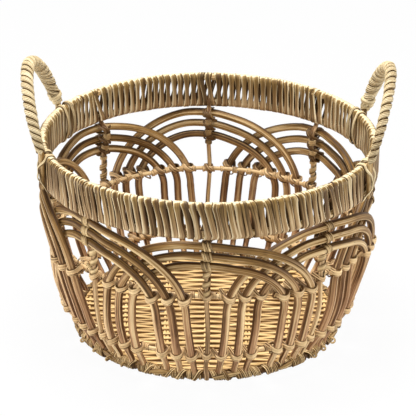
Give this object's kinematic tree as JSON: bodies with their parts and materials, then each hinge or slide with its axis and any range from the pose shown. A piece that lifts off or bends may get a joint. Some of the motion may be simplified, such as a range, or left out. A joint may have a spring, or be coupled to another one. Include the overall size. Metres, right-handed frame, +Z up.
{
  "type": "wicker basket",
  "caption": "Round open-work basket of bent rattan rods in overlapping arches, with a deep wound rim, a woven floor and wound loop handles that stand above the rim.",
  "frame": {"origin": "middle of the foot, on the surface that the basket stands on", "axes": "+Z up through the mouth, -Y the front, +X towards the right-hand handle"},
  "size_m": [0.4136, 0.3814, 0.3143],
  "materials": {
    "rod": "peeled round rattan, satin, with nodes and dark streaks",
    "stake": "thin round rattan, dry and fibrous",
    "binding": "split cane with a smooth rounded back and fine grooves",
    "ring": "pale round rattan, dry",
    "floor": "pale golden woven cane, dry"
  },
  "bodies": {
    "root": {"arch_outer_1": "rod", "arch_middle_1": "rod", "arch_inner_1": "rod", "arch_outer_2": "rod", "arch_middle_2": "rod", "arch_inner_2": "rod", "arch_outer_3": "rod", "arch_middle_3": "rod", "arch_inner_3": "rod", "arch_outer_4": "rod", "arch_middle_4": "rod", "arch_inner_4": "rod", "arch_outer_5": "rod", "arch_middle_5": "rod", "arch_inner_5": "rod", "arch_outer_6": "rod", "arch_middle_6": "rod", "arch_inner_6": "rod", "arch_outer_7": "rod", "arch_middle_7": "rod", "arch_inner_7": "rod", "arch_outer_8": "rod", "arch_middle_8": "rod", "arch_inner_8": "rod", "stake_1": "stake", "stake_2": "stake", "stake_3": "stake", "stake_4": "stake", "stake_5": "stake", "stake_6": "stake", "stake_7": "stake", "stake_8": "stake", "crown_lashing_1": "binding", "crown_lashing_2": "binding", "crown_lashing_3": "binding", "crown_lashing_4": "binding", "crown_lashing_5": "binding", "crown_lashing_6": "binding", "crown_lashing_7": "binding", "crown_lashing_8": "binding", "upper_hoop": "rod", "lower_hoop": "rod", "rim_winding": "binding", "mid_ring": "ring", "lower_ring": "ring", "mid_ring_tie": "binding", "lower_ring_tie": "binding", "handle_core_left": "rod", "handle_winding_left": "binding", "handle_lashing_left_front": "binding", "handle_lashing_left_rear": "binding", "handle_core_right": "rod", "handle_winding_right": "binding", "handle_lashing_right_front": "binding", "handle_lashing_right_rear": "binding", "foot_border": "floor", "floor_spokes": "floor", "floor_weave": "floor"}
  },
  "joints": []
}
